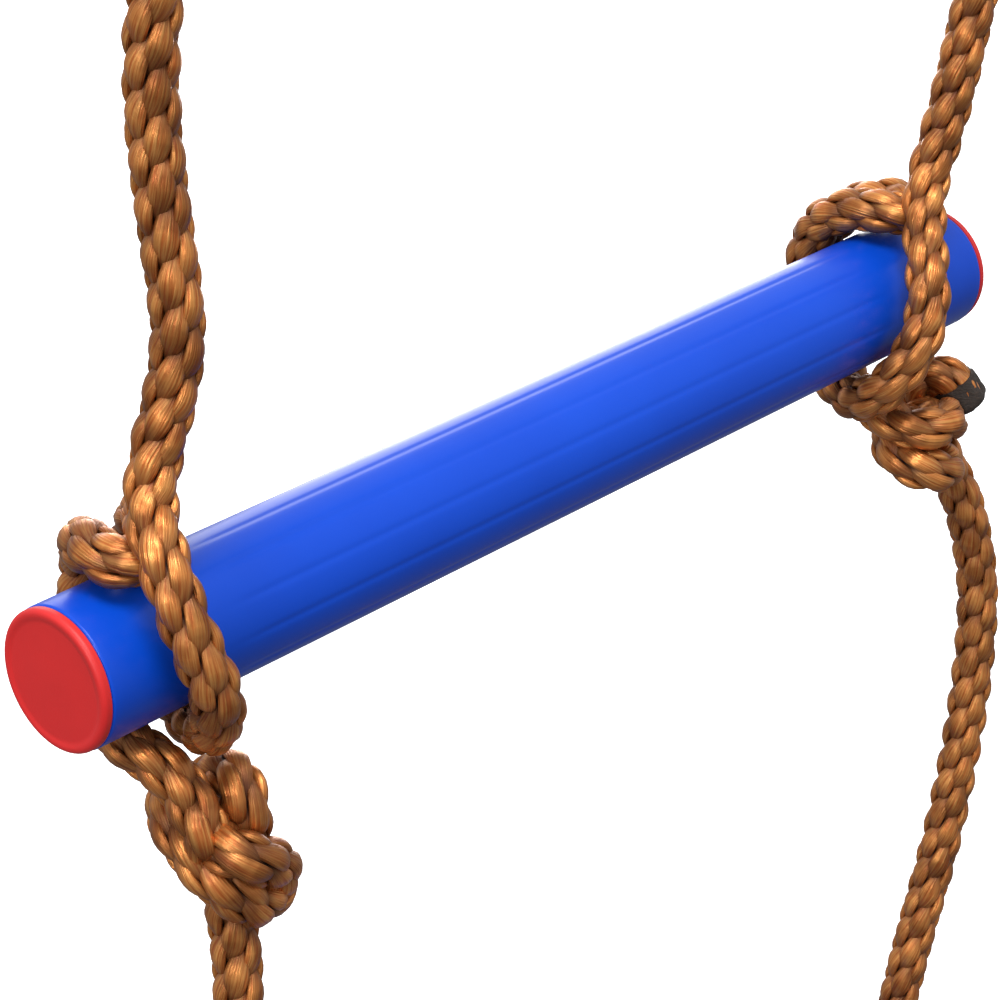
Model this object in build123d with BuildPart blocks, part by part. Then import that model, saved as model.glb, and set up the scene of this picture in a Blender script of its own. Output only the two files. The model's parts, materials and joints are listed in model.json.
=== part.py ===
from build123d import *
import math
import os

# Escape rope ladder: plastic rungs on two ropes that hang from one ring and snap hook.
# X runs along the rungs, -Y is the front and +Z is up. Millimetres.
# The origin is the seat of the snap hook: the underside of its top bow.

os.makedirs("parts", exist_ok=True)

# ---------------------------------------------------------------- driving dimensions
RUNG_COUNT = 3
RUNG_SPACING = 300.0
RUNG_LENGTH = 319.0
RUNG_RADIUS = 17.0
RUNG_WALL = 2.6
RUNG_EDGE = 0.6

GROOVE_COUNT = 12
GROOVE_GAP = 13.0  # from each rope's middle to the nearer end of the grooves
GROOVE_WIDTH = 2.6
GROOVE_DEPTH = 0.45

CAP_RADIUS = 16.8
CAP_THICKNESS = 2.4
CAP_EDGE = 1.2
SPIGOT_LENGTH = 14.0
SPIGOT_WALL = 1.8

ROPE_RADIUS = 6.25
LEFT_ROPE_INSET = 28.5  # from the rung tube's end to the middle of the rope's turns
RIGHT_ROPE_INSET = 32.5
HITCH_WIDTH = 27.0
BODY_GAP = 0.4  # free gap between faces of pieces that turn past each other

FOLD_Y = -17.0
TAIL_LENGTH = 46.0
TAIL_LEAN = 3.0

HOOK_LENGTH = 80.0
HOOK_WIDTH = 42.0
HOOK_ROD_RADIUS = 4.0
GATE_ROD_RADIUS = 3.7
PIN_RADIUS = 1.5
PIN_CLEARANCE = 0.05
SPRING_WIRE_RADIUS = 0.35
SPRING_TURNS = 2
KNUCKLE_RADIUS = 3.7
SLOT_WIDTH = 5.2  # fork at the gate's pivot
TONGUE_LOW_Y = -2.4
TONGUE_HIGH_Y = 0.0
BLADE_THICKNESS = 2.2  # top of the gate, in the nose's slot
BLADE_HEIGHT = 4.4
NOSE_SLOT_WIDTH = 2.8
NOSE_SLOT_DEPTH = 5.2
OUTER_WALL = 1.8

RING_RADIUS = 24.0  # to the middle of its rod
RING_ROD_RADIUS = 4.0

TOP_DROP = 340.0  # from the hook's seat to the first rung's axis
EYE_LEG = 24.0
EYE_KNOT_DROP = 38.0  # from the ring's rod to the middle of the eye's knot

# ---------------------------------------------------------------- sizes that follow
BORE_RADIUS = RUNG_RADIUS - RUNG_WALL
HITCH_RADIUS = RUNG_RADIUS + BODY_GAP + ROPE_RADIUS
LEFT_ROPE_X = LEFT_ROPE_INSET - RUNG_LENGTH / 2
RIGHT_ROPE_X = RUNG_LENGTH / 2 - RIGHT_ROPE_INSET
GROOVE_START = LEFT_ROPE_X + GROOVE_GAP
GROOVE_END = RIGHT_ROPE_X - GROOVE_GAP
FOLD_DROP = RUNG_RADIUS + 8.8 * ROPE_RADIUS  # the ropes fold this far below a rung's axis
FOLD_CLEARANCE = 1.1 * ROPE_RADIUS
END_ROUNDING = 0.4 * ROPE_RADIUS
KNUCKLE_WIDTH = 2 * HOOK_ROD_RADIUS

HOOK_HALF = HOOK_WIDTH / 2 - HOOK_ROD_RADIUS
HOOK_TOP_CENTRE = HOOK_ROD_RADIUS - HOOK_HALF
HOOK_BOTTOM = HOOK_ROD_RADIUS - (HOOK_LENGTH - 2 * HOOK_ROD_RADIUS)
HOOK_BOTTOM_CENTRE = HOOK_BOTTOM + HOOK_HALF
GATE_PIVOT_Z = HOOK_BOTTOM_CENTRE + 3.0
NOSE_Z = HOOK_TOP_CENTRE - 2.0

RING_TOP = HOOK_BOTTOM + HOOK_ROD_RADIUS + BODY_GAP + RING_ROD_RADIUS
RING_CENTRE = RING_TOP - RING_RADIUS
EYE_SPREAD = ROPE_RADIUS + 1.25  # each eye's middle from the ring's lowest point, along Y
EYE_RADIUS = RING_ROD_RADIUS + ROPE_RADIUS + 1.75  # bend of the rope in its eye
EYE_Z = RING_CENTRE - math.sqrt(RING_RADIUS**2 - EYE_SPREAD**2)
EYE_KNOT_RADIUS = 2.65 * ROPE_RADIUS
EYE_KNOT_HALF_HEIGHT = 3.05 * ROPE_RADIUS


def rung_height(number):
    """Height of the axis of rung 1, 2, 3 and so on."""
    return -TOP_DROP - (number - 1) * RUNG_SPACING


# Rope routes, chosen point by point. X is from the middle of the rope's turns and Z from the
# rung's axis. Those between two rungs start on the fold axis under the rung above and are given
# for the spacing below. A change of spacing stretches them.
ROUTE_SPACING = 300.0
LEFT_ROUTE = [
    (5.0, FOLD_Y, 228.0),
    (2.5, -17.0, 200.0),
    (0.0, -10.0, 158.0),
    (0.5, -7.0, 112.0),
    (0.5, -9.5, 72.0),
    (-5.5, -6.0, 42.0),
    (-2.0, 0.0, 23.5),
]
RIGHT_ROUTE = [
    (30.5, FOLD_Y, 228.0),
    (36.0, -21.0, 203.0),
    (35.0, -22.0, 165.0),
    (29.5, -19.5, 122.0),
    (21.0, -17.0, 84.0),
    (15.5, -14.0, 52.0),
    (7.0, -9.0, 24.0),
]
# The two ropes from the middles of the eye knots to the first rung.
LEFT_TOP_ROUTE = [
    (73.0, -5.5, 145.0),
    (31.0, -4.0, 85.0),
    (1.0, -2.0, 47.0),
    (-1.0, 0.0, 23.5),
]
RIGHT_TOP_ROUTE = [
    (-71.0, 4.0, 147.0),
    (-30.0, -2.0, 89.0),
    (-2.0, -7.0, 50.0),
    (7.0, -9.0, 24.0),
]

# Knots under the rungs: middle and half sizes, and the sealed end of the right one.
LEFT_KNOT = {
    "middle": (4.0, -13.0, -RUNG_RADIUS - 4.3 * ROPE_RADIUS),
    "radius": 3.0 * ROPE_RADIUS,
    "half_height": 3.05 * ROPE_RADIUS,
}
RIGHT_KNOT = {
    "middle": (9.0, -15.0, -RUNG_RADIUS - 3.7 * ROPE_RADIUS),
    "radius": 2.35 * ROPE_RADIUS,
    "half_height": 2.65 * ROPE_RADIUS,
}
RIGHT_KNOT_END = [(11.0, -14.0, -41.0), (20.0, -12.5, -30.0), (27.0, -14.5, -28.0), (30.0, -18.5, -35.0)]


# ---------------------------------------------------------------- rope helpers
def corner_radii(points):
    """Largest arc at each corner of a route: 0.45 of the shorter run over the tangent of half the turn."""
    spots = [Vector(*point) for point in points]
    radii = []
    for before, corner, after in zip(spots, spots[1:], spots[2:]):
        run_in = corner - before
        run_out = after - corner
        half_turn = math.radians(run_in.get_angle(run_out)) / 2
        radii.append(0.45 * min(run_in.length, run_out.length) / math.tan(half_turn))
    return radii


def rope_tube(name, points, ball_start=False):
    """Plain rope tube along a route, with a round start where it folds under a knot."""
    radii = corner_radii(points)
    with BuildPart() as rope:
        with BuildLine() as route:
            FilletPolyline(*points, radius=radii)
        path = route.wires()[0]
        with BuildSketch(Plane(origin=path @ 0, z_dir=path % 0)):
            Circle(ROPE_RADIUS)
        sweep(path=path)
        if ball_start:
            with Locations(points[0]):
                Sphere(ROPE_RADIUS)
    length = path.length
    expected = math.pi * ROPE_RADIUS**2 * length
    radii_text = ", ".join(f"{radius:.0f}" for radius in radii)
    print(f"{name}: {length:.0f} mm, radii {radii_text}, volume/expected "
          f"{rope.part.volume / expected:.4f}")
    return rope.part


def place(points, rope_x, height, stretch=1.0):
    """Route points moved to a rope's X and a rung's height, stretched upward from the lowest one."""
    low = points[-1][2]
    return [(rope_x + x, y, height + low + (z - low) * stretch) for x, y, z in points]


def stub_end(fold_point, direction):
    """Where a knot's outgoing rope stops, just short of the round end of the next rope."""
    return Vector(*fold_point) - direction.normalized() * FOLD_CLEARANCE


def fold_point(route, rope_x, height):
    """Point on the fold axis under the rung at this height where a route's rope crosses it."""
    return (rope_x + route[0][0], FOLD_Y, height - FOLD_DROP)


def eye_knot_middle(top_route, rope_x, side):
    """Middle of the knot that closes the eye of a side rope, and the rope's direction there."""
    first = Vector(0, side * EYE_SPREAD, EYE_Z)
    target = Vector(*place(top_route, rope_x, rung_height(1))[0])
    direction = Vector(target.X - first.X, 0, target.Z - first.Z).normalized()
    return first + direction * EYE_KNOT_DROP, direction


def egg(middle, radius, half_height, up=(0, 0, 1)):
    """Closed round outline of a knot, longer along its rope than across it."""
    plane = Plane(origin=middle, x_dir=Vector(0, 1, 0).cross(Vector(*up)), z_dir=(0, -1, 0))
    with BuildPart() as body:
        with BuildSketch(plane):
            Ellipse(radius, half_height)
            Rectangle(2 * radius, 3 * half_height, align=(Align.MIN, Align.CENTER), mode=Mode.INTERSECT)
        revolve(axis=Axis(middle, up))
    return body.part


def straight_rope(start, end):
    """Short straight piece of rope."""
    along = Vector(*end) - Vector(*start)
    with BuildPart() as rope:
        with BuildSketch(Plane(origin=start, z_dir=along)):
            Circle(ROPE_RADIUS)
        extrude(amount=along.length)
    return rope.part


def save(part, name):
    """Label a finished piece and write it."""
    part.label = name
    export_step(part, f"parts/{name}.step")


# ---------------------------------------------------------------- rungs
def make_rung_tube(height):
    """Hollow plastic rung with shallow moulded grooves between the two ropes."""
    left_end = Plane(origin=(-RUNG_LENGTH / 2, 0, height), x_dir=(0, 1, 0), z_dir=(1, 0, 0))
    groove_middle_x = (GROOVE_START + GROOVE_END) / 2
    with BuildPart() as tube:
        with BuildSketch(left_end):
            Circle(RUNG_RADIUS)
        extrude(amount=RUNG_LENGTH)
        fillet(tube.edges().filter_by(GeomType.CIRCLE), RUNG_EDGE)
        with BuildSketch(left_end):
            Circle(BORE_RADIUS)
        extrude(amount=RUNG_LENGTH, mode=Mode.SUBTRACT)
        for index in range(GROOVE_COUNT):
            angle = 360.0 * index / GROOVE_COUNT
            outward = Vector(0, 1, 0).rotate(Axis.X, angle)
            floor = Vector(groove_middle_x, 0, height) + outward * (RUNG_RADIUS - GROOVE_DEPTH)
            with BuildSketch(Plane(origin=floor, x_dir=(1, 0, 0), z_dir=outward)):
                SlotOverall(GROOVE_END - GROOVE_START, GROOVE_WIDTH)
            extrude(amount=2 * GROOVE_DEPTH, mode=Mode.SUBTRACT)
    return tube.part


def make_cap(height, side):
    """End cap: a flange with a rounded edge on a hollow spigot pressed into the rung's bore."""
    end_x = side * RUNG_LENGTH / 2
    outward = Plane(origin=(end_x, 0, height), x_dir=(0, 1, 0), z_dir=(side, 0, 0))
    inward = Plane(origin=(end_x, 0, height), x_dir=(0, 1, 0), z_dir=(-side, 0, 0))
    with BuildPart() as cap:
        with BuildSketch(outward):
            Circle(CAP_RADIUS)
        extrude(amount=CAP_THICKNESS)
        outer_edge = cap.edges().filter_by(GeomType.CIRCLE).sort_by(Axis.X)[-1 if side > 0 else 0]
        fillet(outer_edge, CAP_EDGE)
        with BuildSketch(inward):
            Circle(BORE_RADIUS)
            Circle(BORE_RADIUS - SPIGOT_WALL, mode=Mode.SUBTRACT)
        extrude(amount=SPIGOT_LENGTH)
    return cap.part


# ---------------------------------------------------------------- hitches and knots
def make_hitch(height, rope_x):
    """Outer shape of the rope's turns round a rung: a thick band that clears the tube."""
    with BuildPart() as hitch:
        with BuildSketch(Plane.XZ):
            with Locations((rope_x, height + HITCH_RADIUS)):
                Ellipse(HITCH_WIDTH / 2, ROPE_RADIUS)
        revolve(axis=Axis((0, 0, height), (1, 0, 0)))
    return hitch.part


def make_knot(rope_x, height, knot, fold):
    """Outer shape of an overhand knot with the first of the rope that leaves it."""
    middle = Vector(*knot["middle"]) + Vector(rope_x, 0, height)
    low = middle - Vector(0, 0, knot["half_height"] / 2)
    end = stub_end(fold, Vector(*fold) - low)
    shape = egg(middle, knot["radius"], knot["half_height"])
    return shape + straight_rope(low, end), end


def make_sealed_end(rope_x, height):
    """Cut rope end that stands out of the right knot, melted round at its tip."""
    points = place(RIGHT_KNOT_END, rope_x, height)
    with BuildPart() as end:
        with BuildLine() as route:
            FilletPolyline(*points, radius=corner_radii(points))
        with BuildSketch(Plane(origin=route.wires()[0] @ 0, z_dir=route.wires()[0] % 0)):
            Circle(ROPE_RADIUS)
        sweep(path=route.wires()[0])
        tip = end.faces().sort_by(Axis.X)[-1]
        fillet(tip.edges(), END_ROUNDING)
    return end.part


def make_tail(start, lean):
    """Free end of a side rope under the last knot."""
    begin = Vector(*start)
    middle = begin + Vector(lean, TAIL_LEAN / 3, -TAIL_LENGTH / 2)
    finish = begin + Vector(0, TAIL_LEAN, -TAIL_LENGTH)
    points = [tuple(begin), tuple(middle), tuple(finish)]
    with BuildPart() as tail:
        with BuildLine() as route:
            FilletPolyline(*points, radius=corner_radii(points))
        with BuildSketch(Plane(origin=route.wires()[0] @ 0, z_dir=route.wires()[0] % 0)):
            Circle(ROPE_RADIUS)
        sweep(path=route.wires()[0])
        tip = tail.faces().sort_by(Axis.Z)[0]
        fillet(tip.edges(), END_ROUNDING)
    return tail.part


# ---------------------------------------------------------------- snap hook and ring
def y_rod(x, z, y_from, y_to, radius):
    """Round rod along Y, as a plain solid for joining or cutting."""
    with BuildPart() as rod:
        with BuildSketch(Plane.XZ.offset(-y_to)):
            with Locations((x, z)):
                Circle(radius)
        extrude(amount=y_to - y_from)
    return rod.part


def make_hook_body():
    """Bent steel rod of the snap hook, forked at its lower end and slotted at its nose."""
    left_top = (-HOOK_HALF, 0, HOOK_TOP_CENTRE)
    left_bottom = (-HOOK_HALF, 0, HOOK_BOTTOM_CENTRE)
    right_top = (HOOK_HALF, 0, HOOK_TOP_CENTRE)
    right_bottom = (HOOK_HALF, 0, HOOK_BOTTOM_CENTRE)
    knuckle = y_rod(HOOK_HALF, GATE_PIVOT_Z, -KNUCKLE_WIDTH / 2, KNUCKLE_WIDTH / 2, KNUCKLE_RADIUS)
    with BuildPart() as hook:
        with BuildLine() as rod:
            Line((HOOK_HALF, 0, NOSE_Z), right_top)
            ThreePointArc(right_top, (0, 0, HOOK_ROD_RADIUS), left_top)
            Line(left_top, left_bottom)
            ThreePointArc(left_bottom, (0, 0, HOOK_BOTTOM), right_bottom)
            Line(right_bottom, (HOOK_HALF, 0, GATE_PIVOT_Z))
        with BuildSketch(Plane(origin=rod.wires()[0] @ 0, z_dir=rod.wires()[0] % 0)):
            Circle(HOOK_ROD_RADIUS)
        sweep(path=rod.wires()[0])
        add(knuckle)
        with Locations((HOOK_HALF, 0, GATE_PIVOT_Z)):
            Box(3 * HOOK_ROD_RADIUS, SLOT_WIDTH, 2 * (KNUCKLE_RADIUS + BODY_GAP), mode=Mode.SUBTRACT)
        add(y_rod(HOOK_HALF, GATE_PIVOT_Z, -KNUCKLE_WIDTH, KNUCKLE_WIDTH, PIN_RADIUS), mode=Mode.SUBTRACT)
        slot_high = HOOK_ROD_RADIUS - OUTER_WALL
        slot_low = -2 * HOOK_ROD_RADIUS
        with Locations((HOOK_HALF + (slot_high + slot_low) / 2, 0, NOSE_Z)):
            Box(slot_high - slot_low, NOSE_SLOT_WIDTH, 2 * NOSE_SLOT_DEPTH, mode=Mode.SUBTRACT)
    return hook.part


def make_gate():
    """Round gate: a tongue on the pivot pin below, a blade in the nose's slot above."""
    rod_top = NOSE_Z - BODY_GAP
    swing_clear = y_rod(HOOK_HALF, GATE_PIVOT_Z, -KNUCKLE_WIDTH, KNUCKLE_WIDTH, KNUCKLE_RADIUS + BODY_GAP)
    tongue_eye = y_rod(HOOK_HALF, GATE_PIVOT_Z, TONGUE_LOW_Y, TONGUE_HIGH_Y, KNUCKLE_RADIUS - BODY_GAP)
    tongue_width = TONGUE_HIGH_Y - TONGUE_LOW_Y
    tongue_y = (TONGUE_HIGH_Y + TONGUE_LOW_Y) / 2
    neck_height = KNUCKLE_RADIUS + 3 * BODY_GAP
    blade_high = HOOK_ROD_RADIUS - OUTER_WALL - BODY_GAP
    blade_low = -0.8 * GATE_ROD_RADIUS
    with BuildPart() as gate:
        with BuildSketch(Plane(origin=(HOOK_HALF, 0, GATE_PIVOT_Z), z_dir=(0, 0, 1))):
            Circle(GATE_ROD_RADIUS)
        extrude(amount=rod_top - GATE_PIVOT_Z)
        add(swing_clear, mode=Mode.SUBTRACT)
        add(tongue_eye)
        with Locations((HOOK_HALF, tongue_y, GATE_PIVOT_Z + neck_height / 2)):
            Box(1.6 * GATE_ROD_RADIUS, tongue_width, neck_height)
        with Locations((HOOK_HALF + (blade_high + blade_low) / 2, 0, rod_top + BLADE_HEIGHT / 2)):
            Box(blade_high - blade_low, BLADE_THICKNESS, BLADE_HEIGHT)
        add(
            y_rod(HOOK_HALF, GATE_PIVOT_Z, -KNUCKLE_WIDTH, KNUCKLE_WIDTH, PIN_RADIUS + PIN_CLEARANCE),
            mode=Mode.SUBTRACT,
        )
    return gate.part


def make_gate_pin():
    """Rivet that the gate turns on, flush with the fork."""
    return y_rod(HOOK_HALF, GATE_PIVOT_Z, -KNUCKLE_WIDTH / 2, KNUCKLE_WIDTH / 2, PIN_RADIUS)


def make_gate_spring():
    """Two turns of wire round the pin, beside the gate's tongue."""
    end_gap = 0.1
    width = SLOT_WIDTH / 2 - TONGUE_HIGH_Y
    pitch = (width - 2 * SPRING_WIRE_RADIUS - 2 * end_gap) / SPRING_TURNS
    coil_radius = (PIN_RADIUS + KNUCKLE_RADIUS) / 2 - SPRING_WIRE_RADIUS
    first = (HOOK_HALF, TONGUE_HIGH_Y + SPRING_WIRE_RADIUS + end_gap, GATE_PIVOT_Z)
    with BuildPart() as spring:
        with BuildLine() as wire:
            Helix(pitch, pitch * SPRING_TURNS, coil_radius, center=first, direction=(0, 1, 0))
        with BuildSketch(Plane(origin=wire.wires()[0] @ 0, z_dir=wire.wires()[0] % 0)):
            Circle(SPRING_WIRE_RADIUS)
        sweep(path=wire.wires()[0], is_frenet=True)
    return spring.part


def make_ring():
    """Welded steel ring in the YZ plane, on the hook's lower bow."""
    with BuildPart() as ring:
        with Locations(Location((0, 0, RING_CENTRE), (0, 90, 0))):
            Torus(RING_RADIUS, RING_ROD_RADIUS)
    return ring.part


def make_eye(side, direction):
    """Rope bent over the ring's rod, with both legs pointing down to its knot."""
    across = direction.cross(Vector(0, 1, 0))
    origin = (0, side * EYE_SPREAD, EYE_Z)
    plane = Plane(origin=origin, x_dir=across, z_dir=across.cross(-direction))
    with BuildPart() as eye:
        with BuildLine(plane) as bend:
            Line((-EYE_RADIUS, -EYE_LEG), (-EYE_RADIUS, 0))
            ThreePointArc((-EYE_RADIUS, 0), (0, EYE_RADIUS), (EYE_RADIUS, 0))
            Line((EYE_RADIUS, 0), (EYE_RADIUS, -EYE_LEG))
        with BuildSketch(Plane(origin=bend.wires()[0] @ 0, z_dir=bend.wires()[0] % 0)):
            Circle(ROPE_RADIUS)
        sweep(path=bend.wires()[0])
    return eye.part


# ---------------------------------------------------------------- build everything
save(make_hook_body(), "hook_body")
save(make_gate(), "hook_gate")
save(make_gate_pin(), "gate_pin")
save(make_gate_spring(), "gate_spring")
save(make_ring(), "top_ring")

stretch = RUNG_SPACING / ROUTE_SPACING
sides = {
    "left": {"turn": -1, "x": LEFT_ROPE_X, "route": LEFT_ROUTE, "top": LEFT_TOP_ROUTE, "knot": LEFT_KNOT},
    "right": {"turn": 1, "x": RIGHT_ROPE_X, "route": RIGHT_ROUTE, "top": RIGHT_TOP_ROUTE, "knot": RIGHT_KNOT},
}

for side_name, side in sides.items():
    knot_middle, direction = eye_knot_middle(side["top"], side["x"], side["turn"])
    save(make_eye(side["turn"], direction), f"{side_name}_eye")
    eye_knot = egg(knot_middle, EYE_KNOT_RADIUS, EYE_KNOT_HALF_HEIGHT, up=tuple(-direction))
    save(eye_knot, f"{side_name}_eye_knot")

for number in range(1, RUNG_COUNT + 1):
    height = rung_height(number)
    save(make_rung_tube(height), f"rung_tube_{number}")
    save(make_cap(height, -1), f"left_cap_{number}")
    save(make_cap(height, 1), f"right_cap_{number}")
    for side_name, side in sides.items():
        rope_x = side["x"]
        rope_name = f"{side_name}_rope_{number}"
        if number == 1:
            knot_middle, _ = eye_knot_middle(side["top"], rope_x, side["turn"])
            points = [tuple(knot_middle)] + place(side["top"], rope_x, height)
            save(rope_tube(rope_name, points), rope_name)
        else:
            points = place(side["route"], rope_x, height, stretch)
            points[0] = fold_point(side["route"], rope_x, height + RUNG_SPACING)
            save(rope_tube(rope_name, points, ball_start=True), rope_name)
        save(make_hitch(height, rope_x), f"{side_name}_hitch_{number}")
        fold = fold_point(side["route"], rope_x, height)
        knot, stub = make_knot(rope_x, height, side["knot"], fold)
        if side_name == "right":
            knot = knot + make_sealed_end(rope_x, height)
        save(knot, f"{side_name}_knot_{number}")
        if number == RUNG_COUNT:
            save(make_tail(stub, side["turn"]), f"{side_name}_tail")
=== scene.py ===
"""Escape rope ladder: three plastic rungs tied between two braided ropes, on a steel ring and snap hook."""

import json
import logging
import math
from dataclasses import dataclass, field
from enum import Enum
from typing import Dict, List, Optional, Sequence, Tuple, Union

import bpy
import numpy as np
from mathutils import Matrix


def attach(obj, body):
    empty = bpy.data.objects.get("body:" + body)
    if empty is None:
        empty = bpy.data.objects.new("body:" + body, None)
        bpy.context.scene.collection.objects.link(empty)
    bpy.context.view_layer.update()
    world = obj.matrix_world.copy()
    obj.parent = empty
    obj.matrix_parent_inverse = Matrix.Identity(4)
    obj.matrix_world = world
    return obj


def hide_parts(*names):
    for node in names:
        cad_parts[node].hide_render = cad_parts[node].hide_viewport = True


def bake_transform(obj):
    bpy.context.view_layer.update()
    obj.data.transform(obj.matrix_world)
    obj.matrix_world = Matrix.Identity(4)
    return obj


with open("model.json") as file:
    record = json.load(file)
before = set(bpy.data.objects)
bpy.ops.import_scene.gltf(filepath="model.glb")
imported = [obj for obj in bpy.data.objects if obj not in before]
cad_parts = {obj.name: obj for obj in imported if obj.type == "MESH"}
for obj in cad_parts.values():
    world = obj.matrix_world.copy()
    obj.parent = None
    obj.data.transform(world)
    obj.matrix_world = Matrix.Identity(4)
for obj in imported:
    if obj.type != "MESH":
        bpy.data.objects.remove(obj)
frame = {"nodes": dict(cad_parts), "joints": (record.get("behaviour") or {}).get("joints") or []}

LOG = logging.getLogger("rope_ladder")
Point = Tuple[float, float, float]
Colour = Tuple[float, float, float]

MM = 0.001
RUNG_COUNT = 3
JOINT_PLACES = {joint["name"]: joint["pos_m"] for joint in frame["joints"]}
RUNG_HEIGHTS = [JOINT_PLACES[f"rung_roll_{number}"][2] for number in range(1, RUNG_COUNT + 1)]
ROPE_DIAMETER = 12.5 * MM


class Side(Enum):
    """The two side ropes."""

    LEFT = "left"
    RIGHT = "right"


# ---------------------------------------------------------------- shader expressions
class Value:
    """A number socket that can be used in Python expressions; each operator adds one Math node."""

    def __init__(self, graph: "Graph", socket: bpy.types.NodeSocket) -> None:
        """Wrap a socket of a graph.

        Args:
            graph: the material graph that the socket belongs to.
            socket: the output socket.
        """
        self.graph = graph
        self.socket = socket

    def _apply(self, operation: str, first: "Number", second: "Number") -> "Value":
        """Return the result of one Math node on two values."""
        node = self.graph.node("ShaderNodeMath", {"operation": operation}, {0: first, 1: second})
        return Value(self.graph, node.outputs[0])

    def __add__(self, other: "Number") -> "Value":
        """Return self + other."""
        return self._apply("ADD", self, other)

    def __radd__(self, other: "Number") -> "Value":
        """Return other + self."""
        return self._apply("ADD", other, self)

    def __sub__(self, other: "Number") -> "Value":
        """Return self - other."""
        return self._apply("SUBTRACT", self, other)

    def __rsub__(self, other: "Number") -> "Value":
        """Return other - self."""
        return self._apply("SUBTRACT", other, self)

    def __mul__(self, other: "Number") -> "Value":
        """Return self * other."""
        return self._apply("MULTIPLY", self, other)

    def __rmul__(self, other: "Number") -> "Value":
        """Return other * self."""
        return self._apply("MULTIPLY", other, self)

    def __pow__(self, other: "Number") -> "Value":
        """Return self to the power of other."""
        return self._apply("POWER", self, other)


Number = Union[Value, float]


class Graph:
    """The node tree of one material."""

    def __init__(self, name: str) -> None:
        """Start an empty material.

        Args:
            name: the material's name.
        """
        self.material = bpy.data.materials.new(name)
        self.material.use_nodes = True
        self.tree = self.material.node_tree
        self.tree.nodes.clear()

    def node(self, kind: str, settings: Dict[str, object], inputs: Dict[object, object]) -> bpy.types.Node:
        """Add a node.

        Args:
            kind: the node's type name.
            settings: its own settings; "stops" gives a colour ramp's stops as (place, colour).
            inputs: values, sockets or Values for its sockets, by name or number.

        Returns:
            The node.
        """
        node = self.tree.nodes.new(kind)
        for name, value in settings.items():
            if name == "stops":
                elements = node.color_ramp.elements
                while len(elements) < len(value):
                    elements.new(0.5)
                for element, (place, colour) in zip(elements, value):
                    element.position = place
                    element.color = (*colour, 1.0)
            else:
                setattr(node, name, value)
        for name, value in inputs.items():
            if isinstance(value, Value):
                value = value.socket
            if isinstance(value, bpy.types.NodeSocket):
                self.tree.links.new(value, node.inputs[name])
            else:
                node.inputs[name].default_value = value
        return node

    def place(self) -> bpy.types.NodeSocket:
        """Return the Object coordinates."""
        return self.node("ShaderNodeTexCoord", {}, {}).outputs["Object"]

    def stretched(self, vector: bpy.types.NodeSocket, scale: Point) -> bpy.types.NodeSocket:
        """Return a vector scaled by three numbers."""
        return self.node("ShaderNodeMapping", {}, {"Vector": vector, "Scale": scale}).outputs["Vector"]

    def noise(self, vector: bpy.types.NodeSocket, scale: float, detail: float = 3.0) -> Value:
        """Return a noise value from 0 to 1.

        Args:
            vector: where it is read.
            scale: cells per metre.
            detail: number of finer layers.

        Returns:
            The noise.
        """
        node = self.node("ShaderNodeTexNoise", {}, {"Vector": vector, "Scale": scale, "Detail": detail})
        return Value(self, node.outputs["Fac"])

    def attribute(self, name: str) -> Value:
        """Return a number stored on the mesh."""
        node = self.node("ShaderNodeAttribute", {"attribute_name": name}, {})
        return Value(self, node.outputs["Fac"])

    def ramp(self, amount: Value, stops: Sequence[Tuple[float, Colour]]) -> bpy.types.NodeSocket:
        """Return a colour from a ramp.

        Args:
            amount: where on the ramp.
            stops: places and colours.

        Returns:
            The colour socket.
        """
        return self.node("ShaderNodeValToRGB", {"stops": stops}, {"Fac": amount}).outputs["Color"]

    def mix(
        self, amount: Number, first: object, second: object, blend: str = "MIX"
    ) -> bpy.types.NodeSocket:
        """Return a mix of two colours.

        Args:
            amount: how much of the second.
            first: colour or socket.
            second: colour or socket.
            blend: the way of mixing.

        Returns:
            The colour socket.
        """
        settings = {"data_type": "RGBA", "blend_type": blend}
        first = (*first, 1.0) if isinstance(first, tuple) else first
        second = (*second, 1.0) if isinstance(second, tuple) else second
        return self.node("ShaderNodeMix", settings, {0: amount, 6: first, 7: second}).outputs[2]

    def bump(self, height: Value, strength: float, distance: float) -> bpy.types.NodeSocket:
        """Return a bumped normal.

        Args:
            height: the surface's height, 0 to 1.
            strength: how much of it shows.
            distance: the height of 1, in metres.

        Returns:
            The normal socket.
        """
        inputs = {"Height": height, "Strength": strength, "Distance": distance}
        return self.node("ShaderNodeBump", {}, inputs).outputs["Normal"]

    def close(self, **inputs: object) -> bpy.types.Material:
        """End the graph in a Principled shader with these inputs, underscores standing for spaces."""
        named = {name.replace("_", " "): value for name, value in inputs.items()}
        shader = self.node("ShaderNodeBsdfPrincipled", {}, named)
        self.node("ShaderNodeOutputMaterial", {}, {"Surface": shader.outputs["BSDF"]})
        return self.material


# ---------------------------------------------------------------- finishes
@dataclass(frozen=True)
class RungPlastic:
    """Glossy moulded blue plastic with a faint cloudiness and fine handling marks."""

    deep: Colour = (0.0006, 0.044, 0.420)
    bright: Colour = (0.0010, 0.060, 0.520)

    def material(self) -> bpy.types.Material:
        """Return the material."""
        graph = Graph("rung_plastic_blue")
        place = graph.place()
        cloud = graph.noise(place, 28.0)
        marks = graph.noise(graph.stretched(place, (60.0, 900.0, 900.0)), 1.0, 4.0)
        grain = graph.noise(place, 2600.0, 2.0)
        return graph.close(
            Base_Color=graph.mix(cloud, self.deep, self.bright),
            Roughness=0.27 + cloud * 0.06 + marks * 0.06,
            Specular_IOR_Level=0.20,
            Coat_Weight=0.06,
            Coat_Roughness=0.10,
            Normal=graph.bump(grain * 0.4 + marks * 0.6, 0.25, 0.00006),
        )


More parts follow.
